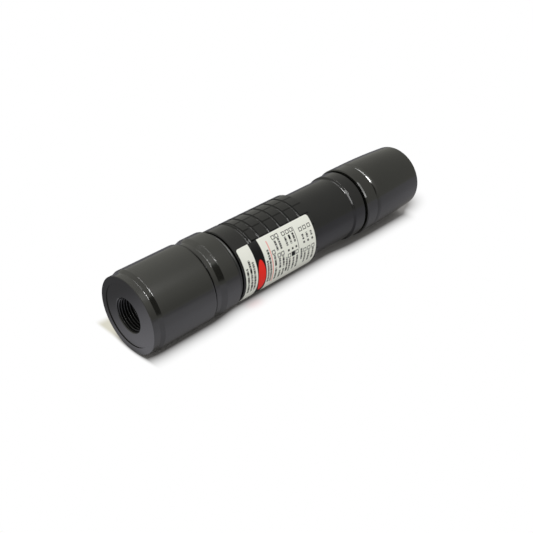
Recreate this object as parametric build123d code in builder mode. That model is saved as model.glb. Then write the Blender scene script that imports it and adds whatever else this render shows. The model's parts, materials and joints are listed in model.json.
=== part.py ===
from build123d import *
from math import sqrt
import os

os.makedirs("parts", exist_ok=True)

# Laser pointer in the form of a flashlight. It stands on its tail end at height zero,
# with the beam leaving upward along +Z. The middle of the view is the -Y side.
# All sizes are in millimetres, and every turned outline is drawn as radius against height.


# Outside lengths, from the tail end up to the nose

tail_cap_length = 31.6
tail_gap = 1.0
rear_ring_length = 5.5
rear_cone_length = 0.6
grip_length = 29.2
front_sleeve_length = 6.85
front_gap = 2.1
collar_band_length = 6.2
collar_cone_length = 2.2
collar_ring_length = 1.8
head_gap = 0.5
head_length = 24.7
nose_band_length = 2.3
nose_cone_length = 1.45

# Outside diameters. The collar is as wide as the head, and the steps are radial.

head_diameter = 28.0
nose_band_step = 0.57
collar_ring_step = 0.6
grip_diameter = 26.35
rear_sleeve_diameter = 24.1
rear_ring_diameter = 25.3
tail_cap_diameter = 26.5
tail_end_diameter = 24.6

# Edges

edge_break = 0.3
head_rear_rounding = 0.6
face_chamfer = 0.15
cone_rounding = 0.35
tail_rounding = 0.3
tail_front_chamfer = 0.4

# Screw joints between the four turned shells

joint_thread_diameter = 23.2
thread_clearance = 0.05
head_engagement = 6.2
barrel_engagement = 5.5
tail_engagement = 7.6
thread_relief = 1.5

# Grip

land_count = 6
ring_groove_width = 1.0
ring_groove_depth = 0.45
twin_groove_spacing = 0.9
flute_count = 18
flute_phase = 8.5
flute_depth = 0.28

# Groove and rounded shoulder of the tail cap

tail_band_length = 5.4
tail_groove_depth = 0.45
tail_shoulder_length = 2.2

# Seals

seal_cord = 1.0
front_seal_cord = 1.4
seal_groove_width = 1.3
seal_offset = 1.4

# Battery cell

cell_diameter = 18.6
cell_length = 69.0
cell_nub_diameter = 6.0
cell_nub_height = 1.2
cell_clearance = 0.3
cell_rounding = 0.6

# Switch in the tail

tail_floor = 2.6
finger_hole_diameter = 15.2
boot_recess = 0.9
boot_flange_diameter = 19.0
boot_flange_thickness = 1.2
boot_wall = 1.2
boot_clearance = 0.35
switch_height = 8.2
switch_base = 1.4
switch_cavity_diameter = 8.6
plunger_diameter = 5.8
plunger_collar_diameter = 8.2
plunger_collar_thickness = 1.0
plunger_stem_diameter = 3.6
plunger_stem_height = 2.0
plunger_travel = 1.8
plunger_stop_gap = 0.6
sliding_clearance = 0.08
board_thickness = 1.2
switch_ring_diameter = 20.0
switch_ring_height = 2.4
switch_ring_bore = 13.0
ring_slot_width = 1.6
ring_slot_depth = 0.9

# Springs

switch_spring_wire = 0.4
switch_spring_diameter = 5.6
tail_spring_wire = 0.9
tail_spring_diameter = 9.0
tail_spring_length = 11.8
driver_spring_wire = 0.6
driver_spring_diameter = 5.4
driver_spring_length = 5.2
lens_spring_wire = 0.45
lens_spring_diameter = 7.4
spring_end_gap = 0.02

# Laser module

module_flange_thickness = 1.6
module_flange_clearance = 0.1
module_skirt_length = 3.8
module_skirt_clearance = 0.1
module_body_diameter = 17.4
module_body_length = 14.8
driver_pocket_diameter = 17.2
driver_pocket_depth = 4.4
driver_board_inset = 0.4
diode_flange_diameter = 5.6
diode_flange_thickness = 1.2
diode_seat_height = 2.8
diode_can_diameter = 3.8
diode_can_height = 2.3
diode_lead_diameter = 0.45
diode_lead_circle = 2.54
diode_lead_hole = 4.2
lens_bore_diameter = 9.0
lens_barrel_length = 7.0
lens_barrel_bore = 4.8
lens_barrel_flange_diameter = 11.2
lens_barrel_flange = 1.0
lens_diameter = 6.4
lens_thickness = 1.8
lens_seat_depth = 2.4
lens_crown = 0.55
chip_length = 5.0
chip_width = 4.0
chip_height = 1.6
inductor_size = 4.0
inductor_height = 2.2
component_offset = 4.9

# Nose of the head

face_recess_diameter = 22.2
face_recess_depth = 0.25
nose_thread_diameter = 12.0
nose_thread_length = 8.0
nose_mouth_chamfer = 0.25
window_diameter = 17.0
window_thickness = 1.5
window_seat_length = 4.0
window_ring_height = 1.5
window_ring_bore = 12.8
head_cavity_diameter = 21.2

# Label, wrapped round the barrel

label_length = 33.55
label_start_above_grip = 1.85
label_arc = 110.0
label_upper_edge = 7.2
label_thickness = 0.12
label_corner = 1.0


# Heights inside the tail cap, up to the driver board that the cell's spring meets

boot_top = tail_floor + boot_flange_thickness
switch_top = boot_top + switch_height
switch_board_top = switch_top + board_thickness
cell_bottom = switch_board_top + tail_spring_length
cell_top = cell_bottom + cell_length
driver_board_bottom = cell_top + driver_spring_length
driver_board_top = driver_board_bottom + board_thickness

# Heights of the outside shapes. The plain rear sleeve is as long as the cell needs.

module_bottom = driver_board_bottom - driver_board_inset
module_flange_bottom = module_bottom + module_skirt_length
collar_bottom = module_flange_bottom - barrel_engagement
barrel_shoulder = collar_bottom - front_gap
grip_top = barrel_shoulder - front_sleeve_length
grip_bottom = grip_top - grip_length
tail_front = tail_cap_length
rear_ring_bottom = tail_front + tail_gap
rear_ring_top = rear_ring_bottom + rear_ring_length
rear_sleeve_bottom = rear_ring_top + rear_cone_length
collar_band_top = collar_bottom + collar_band_length
collar_ring_bottom = collar_band_top + collar_cone_length
collar_top = collar_ring_bottom + collar_ring_length
head_bottom = collar_top + head_gap
nose = head_bottom + head_length
nose_band_bottom = nose - nose_band_length
nose_cone_bottom = nose_band_bottom - nose_cone_length

# Radii that several pieces share

thread_bore = joint_thread_diameter / 2
thread_spigot = thread_bore - thread_clearance
barrel_bore = cell_diameter / 2 + cell_clearance
seal_groove_floor = thread_spigot - seal_cord

# Heights of the screw joints and of what is in the head

barrel_bottom = tail_front - tail_engagement
tail_chamber_top = barrel_bottom - thread_relief
module_shelf = module_flange_bottom + module_flange_thickness
driver_pocket_top = module_bottom + driver_pocket_depth
diode_seat = module_shelf + diode_seat_height
diode_flange_top = diode_seat + diode_flange_thickness
module_top = module_shelf + module_body_length
lens_barrel_bottom = module_top - lens_barrel_length
lens_barrel_top = module_top + lens_barrel_flange
lens_seat = lens_barrel_top - lens_seat_depth
collar_spigot_top = collar_top + head_engagement
head_thread_top = collar_spigot_top + thread_relief
window_top = nose - nose_thread_length
window_bottom = window_top - window_thickness
window_seat_bottom = window_top - window_seat_length
window_ring_top = window_bottom - seal_cord


def corner(radius, height):
    """The corner of the outline being drawn that lies nearest to a radius and a height."""
    return vertices().sort_by_distance((radius, height))[0]


def seal(label, ring_radius, cord, height):
    """One O-ring, given the radius at the middle of its cord and its height."""
    with BuildPart() as ring:
        with Locations((0, 0, height)):
            Torus(ring_radius, cord / 2)
    ring.part.label = label
    return ring.part


def coil_spring(label, diameter, wire, bottom, top, turns):
    """One round wire spring that fills the space from bottom to top."""
    rise = top - bottom - wire - 2 * spring_end_gap
    start = bottom + wire / 2 + spring_end_gap
    with BuildPart() as spring:
        with BuildLine() as path:
            Helix(rise / turns, rise, diameter / 2 - wire / 2, center=(0, 0, start))
        with BuildSketch(Plane(path.line @ 0, z_dir=path.line % 0)):
            Circle(wire / 2)
        sweep(path=path.line, is_frenet=True)
    spring.part.label = label
    return spring.part


# Head shell with the threaded nose

head_radius = head_diameter / 2
nose_band_radius = head_radius - nose_band_step
face_recess_radius = face_recess_diameter / 2
face_recess_floor = nose - face_recess_depth
nose_bore = nose_thread_diameter / 2
window_radius = window_diameter / 2

with BuildPart() as head_shell:
    with BuildSketch(Plane.XZ):
        with BuildLine():
            Polyline(
                (thread_bore, head_bottom),
                (head_radius, head_bottom),
                (head_radius, nose_cone_bottom),
                (nose_band_radius, nose_band_bottom),
                (nose_band_radius, nose),
                (face_recess_radius, nose),
                (face_recess_radius, face_recess_floor),
                (nose_bore, face_recess_floor),
                (nose_bore, window_top),
                (window_radius, window_top),
                (window_radius, window_seat_bottom),
                (head_cavity_diameter / 2, window_seat_bottom),
                (head_cavity_diameter / 2, head_thread_top),
                (thread_bore, head_thread_top),
                close=True,
            )
        make_face()
        fillet(corner(head_radius, head_bottom), head_rear_rounding)
        fillet(corner(head_radius, nose_cone_bottom), cone_rounding)
        fillet(corner(nose_band_radius, nose_band_bottom), cone_rounding)
        chamfer(corner(nose_band_radius, nose), face_chamfer)
        chamfer(corner(nose_bore, face_recess_floor), nose_mouth_chamfer)
        chamfer(corner(thread_bore, head_bottom), edge_break)
    revolve(axis=Axis.Z)
head_shell.part.label = "head_shell"
export_step(head_shell.part, "parts/head_shell.step")


# Window glass, its seal and its threaded ring

with BuildPart() as window_glass:
    with BuildSketch(Plane.XY.offset(window_bottom)):
        Circle(window_radius)
    extrude(amount=window_thickness)
window_glass.part.label = "window_glass"
export_step(window_glass.part, "parts/window_glass.step")

window_seal_radius = window_radius - seal_cord / 2
window_seal = seal("window_seal", window_seal_radius, seal_cord, window_bottom - seal_cord / 2)
export_step(window_seal, "parts/window_seal.step")

with BuildPart() as window_ring:
    with BuildSketch(Plane.XY.offset(window_ring_top)):
        Circle(window_radius)
        Circle(window_ring_bore / 2, mode=Mode.SUBTRACT)
    extrude(amount=-window_ring_height)
    with BuildSketch(Plane.XY.offset(window_ring_top - window_ring_height)):
        Rectangle(window_diameter, ring_slot_width)
    extrude(amount=ring_slot_depth, mode=Mode.SUBTRACT)
window_ring.part.label = "window_ring"
export_step(window_ring.part, "parts/window_ring.step")


# Collar, the neck between the head and the barrel

collar_ring_radius = head_radius - collar_ring_step
module_bore = module_body_diameter / 2
head_seal_bottom = collar_top + seal_offset
head_seal_top = head_seal_bottom + seal_groove_width

with BuildPart() as collar:
    with BuildSketch(Plane.XZ):
        with BuildLine():
            Polyline(
                (thread_bore, collar_bottom),
                (head_radius, collar_bottom),
                (head_radius, collar_band_top),
                (collar_ring_radius, collar_ring_bottom),
                (collar_ring_radius, collar_top),
                (thread_spigot, collar_top),
                (thread_spigot, head_seal_bottom),
                (seal_groove_floor, head_seal_bottom),
                (seal_groove_floor, head_seal_top),
                (thread_spigot, head_seal_top),
                (thread_spigot, collar_spigot_top),
                (module_bore, collar_spigot_top),
                (module_bore, module_shelf),
                (thread_bore, module_shelf),
                close=True,
            )
        make_face()
        chamfer(corner(head_radius, collar_bottom), edge_break)
        chamfer(corner(thread_bore, collar_bottom), edge_break)
        fillet(corner(head_radius, collar_band_top), cone_rounding)
        fillet(corner(collar_ring_radius, collar_ring_bottom), cone_rounding)
        chamfer(corner(collar_ring_radius, collar_top), edge_break)
        chamfer(corner(thread_spigot, collar_spigot_top), edge_break)
    revolve(axis=Axis.Z)
collar.part.label = "collar"
export_step(collar.part, "parts/collar.step")

head_seal = seal(
    "head_seal",
    seal_groove_floor + seal_cord / 2,
    seal_cord,
    head_seal_bottom + seal_groove_width / 2,
)
export_step(head_seal, "parts/head_seal.step")

front_seal = seal(
    "front_seal",
    thread_spigot + front_seal_cord / 2,
    front_seal_cord,
    barrel_shoulder + front_gap / 2,
)
export_step(front_seal, "parts/front_seal.step")


# Barrel: battery tube with a threaded spigot at each end, the grip and the rear ring

grip_radius = grip_diameter / 2
rear_sleeve_radius = rear_sleeve_diameter / 2
rear_ring_radius = rear_ring_diameter / 2
barrel_top = module_flange_bottom
tail_seal_top = rear_ring_bottom - tail_gap - seal_offset
tail_seal_bottom = tail_seal_top - seal_groove_width
land_pitch = grip_length / land_count
twin_groove_height = grip_top - twin_groove_spacing
groove_cutter = ring_groove_width**2 / (8 * ring_groove_depth) + ring_groove_depth / 2
groove_centre = grip_radius - ring_groove_depth + groove_cutter

with BuildPart() as barrel:
    with BuildSketch(Plane.XZ):
        with BuildLine():
            Polyline(
                (barrel_bore, barrel_bottom),
                (thread_spigot, barrel_bottom),
                (thread_spigot, tail_seal_bottom),
                (seal_groove_floor, tail_seal_bottom),
                (seal_groove_floor, tail_seal_top),
                (thread_spigot, tail_seal_top),
                (thread_spigot, rear_ring_bottom),
                (rear_ring_radius, rear_ring_bottom),
                (rear_ring_radius, rear_ring_top),
                (rear_sleeve_radius, rear_sleeve_bottom),
                (rear_sleeve_radius, grip_bottom),
                (grip_radius, grip_bottom),
                (grip_radius, barrel_shoulder),
                (thread_spigot, barrel_shoulder),
                (thread_spigot, barrel_top),
                (barrel_bore, barrel_top),
                close=True,
            )
        make_face()
        chamfer(corner(thread_spigot, barrel_bottom), edge_break)
        chamfer(corner(rear_ring_radius, rear_ring_bottom), edge_break)
        fillet(corner(rear_ring_radius, rear_ring_top), cone_rounding)
        fillet(corner(rear_sleeve_radius, rear_sleeve_bottom), cone_rounding)
        chamfer(corner(grip_radius, grip_bottom), edge_break)
        chamfer(corner(grip_radius, barrel_shoulder), edge_break)
        chamfer(corner(thread_spigot, barrel_top), edge_break)
    revolve(axis=Axis.Z)

    # Rings between the lands, cut by a round nosed tool.
    for land in range(1, land_count + 1):
        with Locations((0, 0, grip_bottom + land * land_pitch)):
            Torus(groove_centre, groove_cutter, mode=Mode.SUBTRACT)
    with Locations((0, 0, twin_groove_height)):
        Torus(groove_centre, groove_cutter, mode=Mode.SUBTRACT)

    # Flutes along the lands, cut by a square bar set on its corner, open at the rear end of the grip.
    with BuildSketch(Plane.XY.offset(grip_bottom)):
        with PolarLocations(grip_radius, flute_count, start_angle=flute_phase - 90):
            Rectangle(flute_depth * sqrt(2), flute_depth * sqrt(2), rotation=45)
    extrude(amount=twin_groove_height - grip_bottom, mode=Mode.SUBTRACT)
barrel.part.label = "barrel"
export_step(barrel.part, "parts/barrel.step")

tail_seal = seal(
    "tail_seal",
    seal_groove_floor + seal_cord / 2,
    seal_cord,
    tail_seal_bottom + seal_groove_width / 2,
)
export_step(tail_seal, "parts/tail_seal.step")


# Label: a thin sheet with rounded corners that lies on the grip and the front sleeve

label_bottom = grip_bottom + label_start_above_grip
label_middle = label_upper_edge - label_arc / 2

with BuildPart() as label:
    with BuildSketch(Plane.XZ):
        with Locations((grip_radius, label_bottom)):
            Rectangle(label_thickness, label_length, align=(Align.MIN, Align.MIN))
    revolve(axis=Axis.Z, revolution_arc=label_arc)
    fillet(edges().filter_by(GeomType.LINE).filter_by(Plane.XY), label_corner)
label_sheet = label.part.rotate(Axis.Z, label_middle - label_arc / 2 - 90)
label_sheet.label = "label"
export_step(label_sheet, "parts/label.step")


# Battery cell: one sealed can with its nub

with BuildPart() as battery_cell:
    with BuildSketch(Plane.XY.offset(cell_bottom)):
        Circle(cell_diameter / 2)
    extrude(amount=cell_length - cell_nub_height)
    fillet(edges().filter_by(GeomType.CIRCLE), cell_rounding)
    with BuildSketch(Plane.XY.offset(cell_top - cell_nub_height)):
        Circle(cell_nub_diameter / 2)
    extrude(amount=cell_nub_height)
battery_cell.part.label = "battery_cell"
export_step(battery_cell.part, "parts/battery_cell.step")


# Laser module: heat sink with a flange that the barrel clamps against the collar

module_flange_radius = thread_bore - module_flange_clearance
module_skirt_radius = barrel_bore - module_skirt_clearance
driver_pocket_radius = driver_pocket_diameter / 2

with BuildPart() as laser_module:
    with BuildSketch(Plane.XZ):
        with BuildLine():
            Polyline(
                (driver_pocket_radius, module_bottom),
                (module_skirt_radius, module_bottom),
                (module_skirt_radius, module_flange_bottom),
                (module_flange_radius, module_flange_bottom),
                (module_flange_radius, module_shelf),
                (module_bore, module_shelf),
                (module_bore, module_top),
                (lens_bore_diameter / 2, module_top),
                (lens_bore_diameter / 2, diode_flange_top),
                (diode_flange_diameter / 2, diode_flange_top),
                (diode_flange_diameter / 2, diode_seat),
                (diode_lead_hole / 2, diode_seat),
                (diode_lead_hole / 2, driver_pocket_top),
                (driver_pocket_radius, driver_pocket_top),
                close=True,
            )
        make_face()
        chamfer(corner(module_bore, module_top), edge_break)
    revolve(axis=Axis.Z)
laser_module.part.label = "laser_module"
export_step(laser_module.part, "parts/laser_module.step")


# Laser diode: flange, can and three leads down to the driver board

with BuildPart() as laser_diode:
    with BuildSketch(Plane.XY.offset(diode_seat)):
        Circle(diode_flange_diameter / 2)
    extrude(amount=diode_flange_thickness)
    with BuildSketch(Plane.XY.offset(diode_flange_top)):
        Circle(diode_can_diameter / 2)
    extrude(amount=diode_can_height)
    with BuildSketch(Plane.XY.offset(driver_board_top)):
        with PolarLocations(diode_lead_circle / 2, 3):
            Circle(diode_lead_diameter / 2)
    extrude(amount=diode_seat - driver_board_top)
laser_diode.part.label = "laser_diode"
export_step(laser_diode.part, "parts/laser_diode.step")


# Lens in its threaded barrel, and the spring that holds the barrel against its thread

with BuildPart() as lens_barrel:
    with BuildSketch(Plane.XZ):
        with BuildLine():
            Polyline(
                (lens_barrel_bore / 2, lens_barrel_bottom),
                (lens_bore_diameter / 2, lens_barrel_bottom),
                (lens_bore_diameter / 2, module_top),
                (lens_barrel_flange_diameter / 2, module_top),
                (lens_barrel_flange_diameter / 2, lens_barrel_top),
                (lens_diameter / 2, lens_barrel_top),
                (lens_diameter / 2, lens_seat),
                (lens_barrel_bore / 2, lens_seat),
                close=True,
            )
        make_face()
    revolve(axis=Axis.Z)
    with BuildSketch(Plane.XY.offset(lens_barrel_top)):
        Rectangle(lens_barrel_flange_diameter, ring_slot_width)
    extrude(amount=-lens_barrel_flange / 2, mode=Mode.SUBTRACT)
lens_barrel.part.label = "lens_barrel"
export_step(lens_barrel.part, "parts/lens_barrel.step")

lens_radius = lens_diameter / 2
lens_top = lens_seat + lens_thickness
lens_rim = lens_top - lens_crown

with BuildPart() as collimator_lens:
    with BuildSketch(Plane.XZ):
        with BuildLine():
            Polyline((0, lens_top), (0, lens_seat), (lens_radius, lens_seat), (lens_radius, lens_rim))
            TangentArc((0, lens_top), (lens_radius, lens_rim), tangent=(1, 0))
        make_face()
    revolve(axis=Axis.Z)
collimator_lens.part.label = "collimator_lens"
export_step(collimator_lens.part, "parts/collimator_lens.step")

lens_spring = coil_spring(
    "lens_spring", lens_spring_diameter, lens_spring_wire, diode_flange_top, lens_barrel_bottom, 4
)
export_step(lens_spring, "parts/lens_spring.step")


# Driver board with its two components and the spring to the cell

with BuildPart() as driver_board:
    with BuildSketch(Plane.XY.offset(driver_board_bottom)):
        Circle(driver_pocket_radius)
    extrude(amount=board_thickness)
driver_board.part.label = "driver_board"
export_step(driver_board.part, "parts/driver_board.step")

with BuildPart() as driver_chip:
    with BuildSketch(Plane.XY.offset(driver_board_top)):
        with Locations((component_offset, 0)):
            Rectangle(chip_width, chip_length)
    extrude(amount=chip_height)
driver_chip.part.label = "driver_chip"
export_step(driver_chip.part, "parts/driver_chip.step")

with BuildPart() as driver_inductor:
    with BuildSketch(Plane.XY.offset(driver_board_top)):
        with Locations((-component_offset, 0)):
            RectangleRounded(inductor_size, inductor_size, edge_break)
    extrude(amount=inductor_height)
driver_inductor.part.label = "driver_inductor"
export_step(driver_inductor.part, "parts/driver_inductor.step")

driver_spring = coil_spring(
    "driver_spring", driver_spring_diameter, driver_spring_wire, cell_top, driver_board_bottom, 4
)
export_step(driver_spring, "parts/driver_spring.step")


# Tail cap: tapered body, shoulder, groove, front band and the stepped bore for the switch

tail_radius = tail_cap_diameter / 2
tail_end_radius = tail_end_diameter / 2
tail_groove_top = tail_front - tail_band_length
tail_body_top = tail_groove_top - tail_shoulder_length
tail_groove_radius = tail_radius - tail_groove_depth
pocket_radius = boot_flange_diameter / 2
switch_ring_radius = switch_ring_diameter / 2

with BuildPart() as tail_cap:
    with BuildSketch(Plane.XZ):
        with BuildLine():
            TangentArc((tail_radius, tail_body_top), (tail_end_radius, 0), tangent=(0, -1))
            Polyline(
                (tail_end_radius, 0),
                (finger_hole_diameter / 2, 0),
                (finger_hole_diameter / 2, tail_floor),
                (pocket_radius, tail_floor),
                (pocket_radius, switch_board_top),
                (switch_ring_radius, switch_board_top),
                (switch_ring_radius, tail_chamber_top),
                (thread_bore, tail_chamber_top),
                (thread_bore, tail_front),
                (tail_radius, tail_front),
                (tail_radius, tail_groove_top),
                (tail_groove_radius, tail_groove_top),
            )
            TangentArc(
                (tail_radius, tail_body_top),
                (tail_groove_radius, tail_groove_top),
                tangent=(0, 1),
            )
        make_face()
        fillet(corner(tail_end_radius, 0), tail_rounding)
        chamfer(corner(finger_hole_diameter / 2, 0), edge_break)
        chamfer(corner(tail_radius, tail_front), tail_front_chamfer)
        chamfer(corner(thread_bore, tail_front), edge_break)
    revolve(axis=Axis.Z)
tail_cap.part.label = "tail_cap"
export_step(tail_cap.part, "parts/tail_cap.step")


# Rubber boot over the switch, with a hollow dome that ends short of the tail end

boot_dome_radius = finger_hole_diameter / 2 - boot_clearance
boot_hollow_radius = boot_dome_radius - boot_wall
boot_hollow_bottom = boot_recess + boot_wall

with BuildPart() as button_boot:
    with BuildSketch(Plane.XZ):
        with BuildLine():
            Polyline(
                (0, boot_recess),
                (boot_dome_radius, boot_recess),
                (boot_dome_radius, tail_floor),
                (pocket_radius, tail_floor),
                (pocket_radius, boot_top),
                (boot_hollow_radius, boot_top),
                (boot_hollow_radius, boot_hollow_bottom),
                (0, boot_hollow_bottom),
                close=True,
            )
        make_face()
        fillet(corner(boot_dome_radius, boot_recess), boot_wall)
    revolve(axis=Axis.Z)
button_boot.part.label = "button_boot"
export_step(button_boot.part, "parts/button_boot.step")


# Push switch: housing, plunger and return spring

cavity_bottom = boot_top + switch_base
cavity_top = cavity_bottom + plunger_stem_height + plunger_travel + plunger_stop_gap
cavity_radius = switch_cavity_diameter / 2
plunger_hole_radius = plunger_diameter / 2 + sliding_clearance
plunger_collar_top = cavity_bottom + plunger_collar_thickness

with BuildPart() as switch_body:
    with BuildSketch(Plane.XZ):
        with BuildLine():
            Polyline(
                (plunger_hole_radius, boot_top),
                (pocket_radius, boot_top),
                (pocket_radius, switch_top),
                (0, switch_top),
                (0, cavity_top),
                (cavity_radius, cavity_top),
                (cavity_radius, cavity_bottom),
                (plunger_hole_radius, cavity_bottom),
                close=True,
            )
        make_face()
    revolve(axis=Axis.Z)
switch_body.part.label = "switch_body"
export_step(switch_body.part, "parts/switch_body.step")

with BuildPart() as switch_plunger:
    with BuildSketch(Plane.XY.offset(boot_hollow_bottom)):
        Circle(plunger_diameter / 2)
    extrude(amount=cavity_bottom - boot_hollow_bottom)
    with BuildSketch(Plane.XY.offset(cavity_bottom)):
        Circle(plunger_collar_diameter / 2)
    extrude(amount=plunger_collar_thickness)
    with BuildSketch(Plane.XY.offset(plunger_collar_top)):
        Circle(plunger_stem_diameter / 2)
    extrude(amount=plunger_stem_height - plunger_collar_thickness)
switch_plunger.part.label = "switch_plunger"
export_step(switch_plunger.part, "parts/switch_plunger.step")

switch_spring = coil_spring(
    "switch_spring", switch_spring_diameter, switch_spring_wire, plunger_collar_top, cavity_top, 3
)
export_step(switch_spring, "parts/switch_spring.step")


# Board, spring and threaded ring above the switch

with BuildPart() as switch_board:
    with BuildSketch(Plane.XY.offset(switch_top)):
        Circle(pocket_radius)
    extrude(amount=board_thickness)
switch_board.part.label = "switch_board"
export_step(switch_board.part, "parts/switch_board.step")

with BuildPart() as switch_ring:
    with BuildSketch(Plane.XY.offset(switch_board_top)):
        Circle(switch_ring_radius)
        Circle(switch_ring_bore / 2, mode=Mode.SUBTRACT)
    extrude(amount=switch_ring_height)
    with BuildSketch(Plane.XY.offset(switch_board_top + switch_ring_height)):
        Rectangle(switch_ring_diameter, ring_slot_width)
    extrude(amount=-ring_slot_depth, mode=Mode.SUBTRACT)
switch_ring.part.label = "switch_ring"
export_step(switch_ring.part, "parts/switch_ring.step")

tail_spring = coil_spring(
    "tail_spring", tail_spring_diameter, tail_spring_wire, switch_board_top, cell_bottom, 5
)
export_step(tail_spring, "parts/tail_spring.step")
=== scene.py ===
"""Looks of the laser pointer: black anodising, a printed label, a threaded nose, a rubber button.

The pointer stands on its tail end, with its beam along +Z. The photograph shows it lying on a
white table, so here the table is a white wall that touches the head, and the camera is rolled.
"""

import json
from math import cos, pi, radians, sin

import bpy
import numpy as np
from mathutils import Matrix, Vector


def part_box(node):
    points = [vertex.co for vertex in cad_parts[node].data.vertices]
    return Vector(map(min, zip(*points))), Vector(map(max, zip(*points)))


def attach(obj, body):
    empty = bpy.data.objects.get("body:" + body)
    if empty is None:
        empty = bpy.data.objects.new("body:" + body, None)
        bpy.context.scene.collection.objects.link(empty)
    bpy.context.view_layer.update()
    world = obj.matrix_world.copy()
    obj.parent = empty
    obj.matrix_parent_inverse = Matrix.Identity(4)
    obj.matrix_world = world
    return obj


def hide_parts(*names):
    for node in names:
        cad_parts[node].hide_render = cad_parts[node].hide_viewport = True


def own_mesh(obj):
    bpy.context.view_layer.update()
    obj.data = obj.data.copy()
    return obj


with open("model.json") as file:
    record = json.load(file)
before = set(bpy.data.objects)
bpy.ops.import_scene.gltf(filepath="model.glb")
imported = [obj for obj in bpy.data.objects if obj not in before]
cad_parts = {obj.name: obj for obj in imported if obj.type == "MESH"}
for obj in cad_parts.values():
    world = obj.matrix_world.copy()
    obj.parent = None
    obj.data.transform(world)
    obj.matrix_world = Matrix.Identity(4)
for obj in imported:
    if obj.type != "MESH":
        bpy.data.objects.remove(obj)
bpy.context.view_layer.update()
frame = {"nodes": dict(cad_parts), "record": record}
nodes = frame["nodes"]

MM = 0.001


# Sizes taken from the frame

head_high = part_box("head_shell")[1]
barrel_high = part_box("barrel")[1]
glass_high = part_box("window_glass")[1]
boot_low, boot_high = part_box("button_boot")
spring_low, spring_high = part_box("switch_spring")
nose_mount = next(mount for mount in frame["record"]["mounts"] if mount["name"] == "nose_thread")

head_radius = head_high.x
grip_radius = barrel_high.x
nose = head_high.z
bore_radius = nose_mount["dims"]["r_mm"] * MM
bore_floor = glass_high.z


# Sizes of the pieces made here

thread_pitch = 1.0 * MM
thread_height = 0.54 * MM
crest_radius = bore_radius - thread_height
boot_wall = 1.2 * MM
boot_flange_width = 2.25 * MM
spring_wire = 0.4 * MM
spring_turns = 3.5


# Camera, as fitted to the photograph

camera_place = Vector((-0.013907, -0.225966, 0.240556))
camera_forward = Vector((0.02346, 0.81025, -0.58563))
camera_up = Vector((0.86666, -0.30848, -0.39209))
camera_lens = 54.07


# The table stands upright behind the pointer, turned by this angle about the beam

table_angle = radians(45)
table_normal = Vector((sin(table_angle), -cos(table_angle), 0))
table_distance = head_radius
table_reach = 1.2
toward_camera = Vector((-cos(table_angle), -sin(table_angle), 0))


def direction(near, up, ahead):
    """A direction from three parts: towards the camera, up from the table, and along the beam."""
    return (toward_camera * near + table_normal * up + Vector((0, 0, ahead))).normalized()


# Shader nodes

class Value:
    """A number that varies over a surface: a socket whose operators add Math nodes."""

    def __init__(self, shading, socket):
        self.shading = shading
        self.socket = socket

    def math(self, operation, *values):
        return self.shading.add("ShaderNodeMath", {"operation": operation}, values)

    def __add__(self, other):
        return self.math("ADD", self, other)

    def __radd__(self, other):
        return self.math("ADD", other, self)

    def __sub__(self, other):
        return self.math("SUBTRACT", self, other)

    def __rsub__(self, other):
        return self.math("SUBTRACT", other, self)

    def __mul__(self, other):
        return self.math("MULTIPLY", self, other)

    def __rmul__(self, other):
        return self.math("MULTIPLY", other, self)

    def __truediv__(self, other):
        return self.math("DIVIDE", self, other)

    def __rtruediv__(self, other):
        return self.math("DIVIDE", other, self)

    def __abs__(self):
        return self.math("ABSOLUTE", self)

    def root(self):
        return self.math("SQRT", self)

    def larger(self, other):
        return self.math("MAXIMUM", self, other)

    def angle(self, other):
        """The angle in degrees whose sine is to its cosine as this value is to the other."""
        return self.math("ARCTAN2", self, other) * (180 / pi)

    def below(self, edge, soft):
        """1 where the value is under an edge, falling to 0 over a soft width round it."""
        return self.shading.ramp(self, edge + soft / 2, edge - soft / 2)

    def within(self, low, high, soft):
        """1 between two edges and 0 outside them."""
        middle = (low + high) / 2
        return abs(self - middle).below((high - low) / 2, soft)


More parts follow.
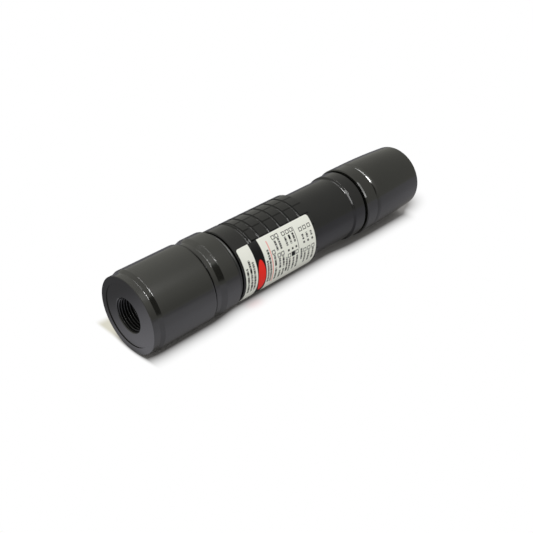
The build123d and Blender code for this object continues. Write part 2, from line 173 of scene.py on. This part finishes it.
class Shading:
    """A tree of shader nodes and the ways to add to it."""

    def __init__(self, tree):
        self.tree = tree

    def add(self, kind, settings, values=(), output=0):
        """Adds a node, sets it up, then gives each input a number, a colour or a link."""
        node = self.tree.nodes.new(kind)
        for key, value in settings.items():
            setattr(node, key, value)
        inputs = values.items() if isinstance(values, dict) else enumerate(values)
        for key, value in inputs:
            self.join(node.inputs[key], value)
        return Value(self, node.outputs[output])

    def join(self, socket, value):
        """Gives a socket a link, or a number or colour of its own."""
        if isinstance(value, Value):
            self.tree.links.new(value.socket, socket)
        else:
            socket.default_value = value

    def outputs(self, value, *names):
        """Other outputs of the node that a value comes from."""
        node = value.socket.node
        return [Value(self, node.outputs[name]) for name in names]

    def show(self, output_node, shader):
        """Sends a shader to the tree's own output node."""
        self.join(self.tree.nodes[output_node].inputs["Surface"], shader)

    def dot(self, point, vector):
        """How far a point or direction reaches along a fixed vector."""
        settings = {"operation": "DOT_PRODUCT"}
        return self.add("ShaderNodeVectorMath", settings, [point, tuple(vector)], output="Value")

    def ramp(self, value, zero, one, kind="SMOOTHSTEP"):
        """0 at one number and 1 at another, smooth between them and held past them."""
        inputs = {"Value": value, "From Min": min(zero, one), "From Max": max(zero, one)}
        mask = self.add("ShaderNodeMapRange", {"interpolation_type": kind}, inputs)
        return mask if zero < one else 1 - mask

    def rise(self, value, zero, one):
        """0 up to one number, then rising fast at first and slowly at last to 1 at another."""
        left = self.ramp(value, one, zero, "LINEAR")
        return 1 - left * left

    def mix(self, factor, first, second):
        """One colour turning into another as the factor goes from 0 to 1.

        The node keeps its colour inputs at 6 and 7, and its colour output at 2."""
        inputs = {0: factor, 6: first, 7: second}
        return self.add("ShaderNodeMix", {"data_type": "RGBA"}, inputs, output=2)

    def shaders(self, factor, first, second):
        """One shader turning into another as the factor goes from 0 to 1."""
        return self.add("ShaderNodeMixShader", {}, [factor, first, second])

    def sight(self):
        """Two masks: what the camera sees itself, and what it sees mirrored or through glass."""
        path = self.add("ShaderNodeLightPath", {})
        names = ("Is Camera Ray", "Is Glossy Ray", "Is Transmission Ray")
        camera, glossy, through = self.outputs(path, *names)
        return camera, glossy + through


class Finish(Shading):
    """One material: a Principled shader and the nodes that feed it. Its places are millimetres."""

    def __init__(self, name, **constants):
        self.material = bpy.data.materials.new(name)
        self.material.use_nodes = True
        super().__init__(self.material.node_tree)
        self.shader = self.tree.nodes["Principled BSDF"]
        self.surface = Value(self, self.shader.outputs[0])
        for socket, value in constants.items():
            self.set(socket.replace("_", " "), value)

    def set(self, socket, value):
        self.join(self.shader.inputs[socket], value)

    def place(self):
        """Where a point lies on the pointer."""
        point = self.add("ShaderNodeTexCoord", {}, output="Object")
        inputs = {0: point, "Scale": 1 / MM}
        return self.add("ShaderNodeVectorMath", {"operation": "SCALE"}, inputs)

    def parts(self, point):
        """The x, y and z of a place."""
        return self.outputs(self.add("ShaderNodeSeparateXYZ", {}, [point]), "X", "Y", "Z")

    def turned_place(self, point):
        """How far a place is from the pointer's axis, and how high above the tail end."""
        x, y, z = self.parts(point)
        return (x * x + y * y).root(), z

    def noise(self, point, scale, detail):
        """Uneven patches all through space."""
        settings = {"noise_dimensions": "3D"}
        inputs = {"Vector": point, "Scale": scale, "Detail": detail}
        return self.add("ShaderNodeTexNoise", settings, inputs)

    def stripes(self, value, scale, detail):
        """Uneven stripes along one value, such as the marks that a turning tool leaves."""
        settings = {"noise_dimensions": "1D"}
        inputs = {"W": value, "Scale": scale, "Detail": detail}
        return self.add("ShaderNodeTexNoise", settings, inputs)

    def bump(self, height, size):
        """Tilts the surface as if it rose by a height of 0 to 1 times a size."""
        inputs = {"Strength": 1.0, "Distance": size * MM, "Height": height}
        self.set("Normal", self.add("ShaderNodeBump", {}, inputs))


def shade(colour, strength=1.0):
    """A colour given as the photograph's 0 to 255, times a strength, as a linear colour."""
    encoded = np.minimum(np.array(colour) * strength, 255) / 255
    linear = np.where(encoded <= 0.04045, encoded / 12.92, ((encoded + 0.055) / 1.055) ** 2.4)
    return (*linear.tolist(), 1.0)


# Finishes of the metal pieces

grip_low = 59.3
grip_high = 95.0
groove_depth = 0.12


def anodised(name, colour, bending, grip=False):
    """Hard anodised aluminium: nearly black, and glossy enough to mirror the room softly.

    The tool's marks follow the turned outline, by height on the sides and radius on the faces.
    On the grip, what lies deeper than its lands is darker: painted shade in the grooves."""
    finish = Finish(name, IOR=bending)
    point = finish.place()
    radius, z = finish.turned_place(point)
    clouds = finish.noise(point, scale=0.12, detail=3)
    grain = finish.noise(point, scale=9.0, detail=2)
    marks = finish.stripes(z + radius, scale=5.5, detail=3)
    tone = finish.mix(clouds, shade(colour, 0.85), shade(colour, 1.15))
    if grip:
        # Painted shade: the grip's grooves are darkened towards near black
        groove_shade = radius.below(grip_radius / MM - groove_depth, 0.1)
        groove_shade = groove_shade * z.within(grip_low, grip_high, 0.1)
        tone = finish.mix(0.6 * groove_shade, tone, shade((12, 12, 12)))
    finish.set("Base Color", tone)
    finish.set("Roughness", 0.09 + 0.05 * marks + 0.04 * grain)
    finish.bump(0.6 * marks + 0.4 * grain, 0.0004)
    return finish.material


def threaded(name, colour, inner_radius):
    """The anodising on a thread, painted darker as shade in the bore: the crests shine, and the
    valleys are matt and painted black as shade.
    """
    finish = Finish(name, IOR=1.2, Coat_IOR=1.5, Coat_Roughness=0.1)
    point = finish.place()
    radius = finish.turned_place(point)[0]
    grain = finish.noise(point, scale=9.0, detail=2)
    crest = radius.below(inner_radius / MM + 0.25, 0.2)
    # Painted shade: the valleys are near black, and the crests take the darker colour given
    finish.set("Base Color", finish.mix(crest, shade((5, 5, 5)), shade(colour)))
    finish.set("Roughness", 0.5 + 0.1 * grain)
    finish.set("Coat Weight", crest * (0.7 + 0.2 * grain))
    finish.bump(grain, 0.0006)
    return finish.material


def turned_metal(name, colour, roughness):
    """Bare turned metal with rings left by the tool."""
    finish = Finish(name, Metallic=1.0)
    radius, z = finish.turned_place(finish.place())
    marks = finish.stripes(z + radius, scale=7.0, detail=4)
    finish.set("Base Color", finish.mix(marks, shade(colour, 0.88), shade(colour)))
    finish.set("Roughness", roughness + 0.15 * (marks - 0.5))
    finish.bump(marks, 0.006)
    return finish.material


# Finishes of the other pieces

def plain(name, colour, roughness, metallic=0.0, scale=6.0, spread=0.25, bumps=0.004):
    """A moulded, cut or plated surface: one colour with a fine uneven grain."""
    finish = Finish(name, Metallic=metallic)
    point = finish.place()
    grain = finish.noise(point, scale, detail=4)
    clouds = finish.noise(point, scale / 12, detail=2)
    dark = shade(colour, 1 - spread)
    light = shade(colour, 1 + spread)
    finish.set("Base Color", finish.mix(0.5 * grain + 0.5 * clouds, dark, light))
    finish.set("Roughness", roughness + 0.12 * (grain - 0.5))
    finish.bump(grain, bumps)
    return finish.material


def coated_glass(name, tint):
    """Clear glass with a faint coloured coating."""
    finish = Finish(name, Transmission_Weight=1.0, IOR=1.5)
    film = finish.noise(finish.place(), scale=0.3, detail=2)
    finish.set("Base Color", finish.mix(film, shade(tint), shade((250, 252, 252))))
    finish.set("Roughness", 0.02 + 0.02 * film)
    return finish.material


def circuit_board(name):
    """Green solder mask over copper tracks, with a tinned ring near the rim."""
    finish = Finish(name, IOR=1.5)
    point = finish.place()
    radius = finish.turned_place(point)[0]
    patches = finish.noise(point, scale=0.55, detail=1)
    tracks = abs(patches - 0.5).below(0.03, 0.01)
    rim = radius.within(7.6, 8.2, 0.1)
    green = finish.mix(tracks, shade((18, 88, 44)), shade((40, 118, 62)))
    finish.set("Base Color", finish.mix(rim, green, shade((196, 196, 190))))
    finish.set("Metallic", rim)
    finish.set("Roughness", 0.35 + 0.1 * patches)
    finish.bump(tracks + rim, 0.03)
    return finish.material


# Label. Places along it are millimetres from the nose, and across it degrees round the pointer.

label_white = shade((236, 237, 226))
label_ink = shade((15, 15, 16))
label_red = shade((238, 44, 34))
print_height = 0.84
print_edge = 0.12
box_size = 1.45
box_line = 0.25
oval_turn = -48.5
oval_station = 45.4
oval_reach = (6.3, 1.7)


def printed_label(name):
    """White vinyl with a dark band, a red oval on it, and rows of plain bars and squares."""
    finish = Finish(name, IOR=1.2)
    point = finish.place()
    x, y, z = finish.parts(point)
    station = nose / MM - z
    turn = x.angle(0 - y)
    degree = pi * grip_radius / MM / 180

    def bar(row, start, end, height=print_height):
        """A bar round the pointer, from an upper angle down to a lower one."""
        length = turn.within(end, start, print_edge / degree)
        return station.within(row - height / 2, row + height / 2, print_edge) * length

    def small_print(row, start, end):
        """A bar broken by an uneven comb, as grey as a line of small print."""
        teeth = finish.stripes(turn + row * 37, scale=0.62, detail=0)
        return bar(row, start, end) * teeth.below(0.58, 0.1)

    def block(row, middle, size=box_size):
        """A filled square round one angle."""
        reach = size / 2 / degree
        return bar(row, middle + reach, middle - reach, size)

    def box(row, middle):
        """The outline of a square round one angle."""
        return block(row, middle) - block(row, middle, box_size - 2 * box_line)

    upper_rows = (58.4, 60.3, 62.1)
    lower_rows = (66.0, 68.0, 70.1)
    lines = [
        (39.2, -24, -66), (40.7, -14, -66), (42.1, -19, -66),
        (48.3, -28, -66), (49.5, -13, -66),
        (51.8, -25, -43), (51.8, -46, -68),
        (53.8, -5, -22), (53.8, -33, -50), (53.8, -54, -70),
        (55.5, -5, -22), (55.5, -33, -51), (55.5, -54, -70),
        (57.0, -38, -64), (64.3, -37, -56),
    ]
    lines += [(row, start, end) for row in upper_rows for start, end in ((-8, -22), (-43, -67))]
    lines += [(row, start, end) for row in lower_rows for start, end in ((-17, -25), (-46, -66))]
    boxes = [(51.8, -21), (58.4, -38), (62.1, -38)]
    boxes += [(row, middle) for row in (53.8, 55.5) for middle in (-1, -29)]
    boxes += [(row, -3) for row in upper_rows]
    boxes += [(row, middle) for row in lower_rows for middle in (-9, -42)]

    shapes = [small_print(*line) for line in lines]
    shapes += [box(*place) for place in boxes]
    shapes += [block(row, -29.5, 0.75) for row in upper_rows + lower_rows]
    shapes += [block(60.3, -38, 1.7), bar(63.2, 0, -35, 0.2)]
    inked = shapes[0]
    for shape in shapes[1:]:
        inked = inked.larger(shape)

    band = station.within(43.4, 47.4, 0.1)
    across = (turn - oval_turn) * degree / oval_reach[0]
    along = (station - oval_station) / oval_reach[1]
    oval = (across * across + along * along).root().below(1, 0.06)
    red_line = bar(50.5, -1, -70, 0.4)

    colour = finish.mix(inked, label_white, label_ink)
    colour = finish.mix(0.6 * red_line, colour, label_red)
    colour = finish.mix(band, colour, label_ink)
    colour = finish.mix(oval, colour, label_red)
    grain = finish.noise(point, scale=5.0, detail=3)
    finish.set("Base Color", colour)
    finish.set("Roughness", 0.38 + 0.08 * grain)
    finish.bump(grain, 0.003)
    return finish.material


# New pieces

def add_object(name, data):
    """Puts a mesh, a lamp or a camera into the scene."""
    piece = bpy.data.objects.new(name, data)
    bpy.context.scene.collection.objects.link(piece)
    return piece


def closed_grid(name, points, join_rows=False):
    """A mesh over a grid of points whose columns close on themselves.

    The first and last row are joined too if asked. If not, each is closed by a face of its own."""
    rows, columns = points.shape[:2]
    index = np.arange(rows * columns).reshape(rows, columns)
    near = index if join_rows else index[:-1]
    far = np.roll(index, -1, axis=0) if join_rows else index[1:]
    faces = np.stack([near, np.roll(near, -1, axis=1), np.roll(far, -1, axis=1), far], axis=-1)
    faces = faces.reshape(-1, 4).tolist()
    if not join_rows:
        faces += [index[0, ::-1].tolist(), index[-1].tolist()]
    mesh = bpy.data.meshes.new(name)
    mesh.from_pydata(points.reshape(-1, 3), [], faces)
    mesh.shade_smooth()
    return add_object(name, mesh)


def turned(name, outline, columns=160):
    """A turned piece: each point (r, z) of an outline becomes a circle of radius r at height z.

    The outline starts and ends near the axis, where a small face closes it."""
    angle = np.linspace(0, 2 * pi, columns, endpoint=False)
    radius, height = np.array(outline).T[..., None]
    x = radius * np.cos(angle)
    y = radius * np.sin(angle)
    return closed_grid(name, np.stack([x, y, height + 0 * angle], axis=-1))


def nose_thread(rows=181, columns=144):
    """The thread inside the nose bore, with a plain outer wall that lies in the bore.

    The inner wall's radius at angle a and height z is a triangle wave of z / pitch - a / one turn,
    rounded at the crests and the roots by a smooth step. It runs out at 45 degrees at both ends."""
    wall_radius = bore_radius - 0.004 * MM
    outer_radius = bore_radius - 0.001 * MM
    low = bore_floor + 0.25 * MM
    high = nose - 0.52 * MM
    flat = 0.1
    angle = np.linspace(0, 2 * pi, columns, endpoint=False)
    height = np.linspace(low, high, rows)[:, None]
    phase = (height / thread_pitch - angle / (2 * pi)) % 1.0
    wave = np.abs(2 * phase - 1)
    slope = np.clip((wave - flat) / (1 - 2 * flat), 0, 1)
    depth = slope * slope * (3 - 2 * slope)
    radius = crest_radius + (wall_radius - crest_radius) * depth
    run_out = wall_radius - np.minimum(height - low, high - height)
    radius = np.maximum(radius, run_out)
    x = radius * np.cos(angle)
    y = radius * np.sin(angle)
    inner = np.stack([x, y, height + 0 * angle], axis=-1)
    outer = inner[[-1, 0]].copy()
    outer[..., :2] *= outer_radius / np.linalg.norm(outer[..., :2], axis=-1, keepdims=True)
    return closed_grid("nose_thread", np.concatenate([inner, outer])[::-1], join_rows=True)


def coil(name, radius, wire, low, high, turns, steps=40, columns=12):
    """A round wire wound into a helix: a small circle carried along it.

    The wire's middle rises evenly with its turn, but more slowly in the two end turns, which lie
    nearly flat."""
    end_turn = 0.9
    end_rise = 0.12
    turn = np.linspace(0, turns, int(turns * steps) + 1)
    angle = 2 * pi * turn[:, None]
    rise = np.interp(turn, [0, end_turn, turns - end_turn, turns], [0, end_rise, 1 - end_rise, 1])
    middle = low + wire / 2 + rise * (high - low - wire)
    around = np.linspace(0, -2 * pi, columns, endpoint=False)
    reach = radius - wire / 2 + wire / 2 * np.cos(around)
    x = reach * np.cos(angle)
    y = reach * np.sin(angle)
    z = middle[:, None] + wire / 2 * np.sin(around)
    return closed_grid(name, np.stack([x, y, z], axis=-1))


def boot_outline():
    """The boot's section: a flat face, a rounded rim, a side, a flange and the hollow inside."""
    low = boot_low.z
    top = boot_high.z
    flange = boot_high.x
    side = flange - boot_flange_width
    hollow = side - boot_wall
    ledge = top - boot_wall
    rim = boot_wall
    axis = 0.02 * MM
    bend = np.linspace(-pi / 2, 0, 9)
    points = [(axis, low)]
    points += [(side - rim + rim * cos(a), low + rim + rim * sin(a)) for a in bend]
    points += [(side, ledge), (flange, ledge), (flange, top), (hollow, top)]
    points += [(hollow, low + boot_wall), (axis, low + boot_wall)]
    return points


# Table. Its shadow is partly cast and partly painted, and fades between these millimetres from
# the line that the pointer touches. The grip stands off the table, and its painted shadow is
# narrower. As the pointer mirrors it, it fades slower.

shadow_core = 7.1
shadow_reach = 14.5
shadow_grip = 1.3
shadow_tail = 0.6
mirrored_core = 10.0
mirrored_reach = 33.0


def table_paper():
    """Dark grey paper that takes the pointer's cast shadow, and turns into plain white further out.

    Since the white comes in by distance from the pointer, the shadow's darkness and width are
    partly painted. It has a painted warm shade beside the face and a faint painted red bounce light
    below the label's oval. What the pointer mirrors of it gets dimmer towards the tail and on the
    side away from the camera. From behind it is clear."""
    paper = Finish("white_table", Roughness=0.8)
    # Dark grey, so that near the pointer the paper is a painted shadow as well as a cast one
    paper.set("Base Color", (0.28, 0.27, 0.26, 1))
    camera, mirrored = paper.sight()
    point = paper.place()
    aside = paper.dot(point, toward_camera)
    z = paper.dot(point, (0, 0, 1))
    to_nose = z - nose / MM

    # The distance from the line that the pointer touches, which counts for less past the tail
    # and for more past the nose
    past_tail = 0.62 * (0 - z).larger(0)
    past_nose = 5 * (to_nose + 1.2).larger(0) + 0.6 * (to_nose + 7).larger(0)
    away = (aside * aside + past_tail * past_tail + past_nose * past_nose).root()

    # Where the paper is white, for the camera and as the pointer mirrors it; nearer in, the dark
    # grey paper shows as painted shadow
    beside_grip = z.within(41, 99, 14)
    beside_tail = z.below(30, 20)
    behind_tail = z.below(-0.5, 5)
    shown = away + shadow_grip * beside_grip - shadow_tail * beside_tail + 2 * behind_tail
    white_shown = camera * paper.rise(shown, shadow_core, shadow_reach)
    white_mirrored = mirrored * paper.rise(away, mirrored_core, mirrored_reach)

    # How bright that white is
    near_side = 1 - 0.35 * paper.ramp(z, 100, 0)
    far_side = 0.24 + 0.1 * paper.ramp(away, 80, 300)
    brightness = near_side + (far_side - near_side) * paper.ramp(aside, 4, -32)
    strength = 1 - mirrored * (1 - brightness)

    # Its colour: a painted warm shade beside the face, painted red bounce light below the oval
    painted_shade_beside_face = aside.within(-19.5, -4, 4) * to_nose.within(-6.5, -0.7, 1.8)
    painted_red_bounce = aside.within(7, 11, 5) * z.within(84, 90, 5)
    tint = paper.mix(painted_shade_beside_face, (1, 1, 1, 1), (0.7, 0.68, 0.58, 1))
    tint = paper.mix(0.12 * painted_red_bounce, tint, (1, 0, 0, 1))
    tint = paper.mix(mirrored, tint, (0.93, 0.92, 1, 1))

    # The shaders
    white = paper.add("ShaderNodeEmission", {}, {"Color": tint, "Strength": strength})
    clear = paper.add("ShaderNodeBsdfTransparent", {})
    from_behind = paper.add("ShaderNodeNewGeometry", {}, output="Backfacing")
    top_side = paper.shaders(white_shown + white_mirrored, paper.surface, white)
    paper.show("Material Output", paper.shaders(from_behind, top_side, clear))
    return paper.material


def white_table():
    """A flat square that touches the head, and lights and shades nothing."""
    across = toward_camera * table_reach
    along = Vector((0, 0, table_reach))
    middle = Vector((0, 0, nose / 2)) - table_normal * table_distance
    corners = [middle + across * u + along * v for u, v in ((-1, -1), (-1, 1), (1, 1), (1, -1))]
    mesh = bpy.data.meshes.new("white_table")
    mesh.from_pydata([tuple(corner) for corner in corners], [], [(0, 1, 2, 3)])
    mesh.materials.append(table_paper())
    piece = add_object("white_table", mesh)
    piece.visible_diffuse = False
    piece.visible_shadow = False


# Room, lamps and camera

camera_shape = direction(0.85, 0.53, 0.13)
light_above = 0.95
light_at_table = 0.65
lamp_distance = 1.5


def white_world():
    """A white room whose light comes evenly from above, with the dark shape of the camera in it.

    The camera sees plain white. So do reflections and glass, apart from that dark shape, the
    room's horizon and its end behind the tail, where they see greys. As light, the white below
    stands for the table, and is dimmer straight down."""
    world = bpy.data.worlds.new("white_room")
    bpy.context.scene.world = world
    world.use_nodes = True
    room = Shading(world.node_tree)
    way = room.add("ShaderNodeTexCoord", {}, output="Generated")
    up = room.dot(way, table_normal)
    below = room.ramp(up, 0.02, -0.02)
    above = 1 - below
    light_below = light_at_table - 0.5 * room.ramp(up, -0.1, -0.9)
    light = below * light_below + above * light_above
    camera, mirrored = room.sight()
    dark_shape = above * room.ramp(room.dot(way, camera_shape), 0.88, 0.92)
    tail_end = room.ramp(room.dot(way, (0, 0, -1)), 0.4, 0.8)
    horizon = above * room.ramp(up, 0.75, 0.1) * (1 - 0.9 * tail_end)
    brightness = (1 - (0.95 * dark_shape).larger(0.42 * horizon)) * (1 - 0.46 * tail_end)
    strength = 1 - mirrored * (1 - brightness)
    tint = room.mix(mirrored, (1, 1, 1, 1), (1, 1, 0.91, 1))
    view = room.add("ShaderNodeBackground", {}, {"Color": tint, "Strength": strength})
    lamp = room.add("ShaderNodeBackground", {}, {"Color": (1, 1, 1, 1), "Strength": light})
    room.show("World Output", room.shaders(camera + mirrored, lamp, view))


def softbox(name, way, width, height, radiance):
    """A rectangular lamp that faces the pointer's middle, and shows only in its gloss."""
    lamp = bpy.data.lights.new(name, "AREA")
    lamp.shape = "RECTANGLE"
    lamp.size = width
    lamp.size_y = height
    lamp.energy = radiance * pi * width * height
    piece = add_object(name, lamp)
    piece.location = Vector((0, 0, nose / 2)) + way * lamp_distance
    piece.rotation_mode = "QUATERNION"
    piece.rotation_quaternion = way.to_track_quat("Z", "Y")
    piece.visible_diffuse = False


def photo_camera():
    """The photograph's camera, rolled so that the standing pointer looks as if it lies."""
    lens = bpy.data.cameras.new("photo_camera")
    lens.lens = camera_lens
    lens.sensor_width = 36
    lens.clip_start = 0.005
    lens.clip_end = 20
    piece = add_object("photo_camera", lens)
    right = camera_forward.cross(camera_up)
    turn = Matrix((right, camera_up, -camera_forward)).transposed()
    piece.rotation_mode = "QUATERNION"
    piece.rotation_quaternion = turn.to_quaternion()
    piece.location = camera_place
    bpy.context.scene.camera = piece


# Finishes on the frame's own pieces

def dress(material, *names):
    """Gives one material to every slot of the named pieces."""
    for name in names:
        for material_slot in nodes[name].material_slots:
            material_slot.material = material


shell = anodised("anodised_shell", (27, 27, 24), 1.54)
dress(shell, "head_shell", "collar", "tail_cap")
dress(anodised("anodised_grip", (24, 24, 24), 1.4, grip=True), "barrel")
dress(printed_label("printed_label"), "label")
seal_black = plain("seal_rubber", (24, 24, 24), 0.42)
dress(seal_black, "front_seal", "head_seal", "tail_seal", "window_seal")
dress(coated_glass("window_coating", (228, 244, 238)), "window_glass")
dress(coated_glass("lens_coating", (214, 222, 248)), "collimator_lens")
dress(turned_metal("bare_aluminium", (196, 197, 200), 0.3), "window_ring", "switch_ring")
dress(turned_metal("bare_brass", (214, 178, 104), 0.28), "laser_module", "lens_barrel")
dress(plain("gold_plating", (226, 190, 110), 0.22, metallic=1.0, spread=0.06), "laser_diode")
dress(circuit_board("circuit_board"), "driver_board", "switch_board")
dress(plain("chip_moulding", (30, 30, 32), 0.5), "driver_chip")
dress(plain("ferrite", (66, 64, 62), 0.6), "driver_inductor")
wire_steel = plain("spring_wire", (196, 190, 178), 0.25, metallic=1.0, spread=0.08)
dress(wire_steel, "driver_spring", "tail_spring", "lens_spring")
dress(plain("switch_moulding", (34, 34, 35), 0.45), "switch_body")
dress(plain("plunger_moulding", (206, 206, 200), 0.4, spread=0.05), "switch_plunger")
dress(plain("cell_sleeve", (32, 86, 150), 0.28, spread=0.08), "battery_cell")


# Pieces made here

thread_piece = nose_thread()
# The thread's colour is darker than the shell's: painted shade in the bore
thread_piece.data.materials.append(threaded("anodised_thread_shaded", (18, 18, 18), crest_radius))
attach(thread_piece, "pointer")

boot_piece = turned("boot", boot_outline())
boot_black = plain("boot_rubber", (27, 27, 28), 0.62, scale=9.0, bumps=0.01)
boot_piece.data.materials.append(boot_black)
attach(boot_piece, "tail_cap")
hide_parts("button_boot")
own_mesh(boot_piece)

spring_ends = (spring_low.z, spring_high.z)
spring_piece = coil("return_spring", spring_high.x, spring_wire, *spring_ends, spring_turns)
spring_piece.data.materials.append(wire_steel)
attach(spring_piece, "tail_cap")
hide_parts("switch_spring")
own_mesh(spring_piece)


# Stage. The window and ceiling lamps draw the bright lines on the edges that lean a little towards
# the nose, and the front lamp those on the edges that lean more.

white_table()
white_world()
softbox("window_lamp", direction(0.43, 1.0, -0.262), width=0.58, height=0.14, radiance=85.0)
softbox("ceiling_lamp", direction(-0.18, 1.0, -0.262), width=1.0, height=0.14, radiance=15.0)
softbox("front_lamp", direction(0.44, 0.5, 0.7), width=1.1, height=0.1, radiance=9.0)
photo_camera()

scene = bpy.context.scene
scene.view_settings.view_transform = "Standard"
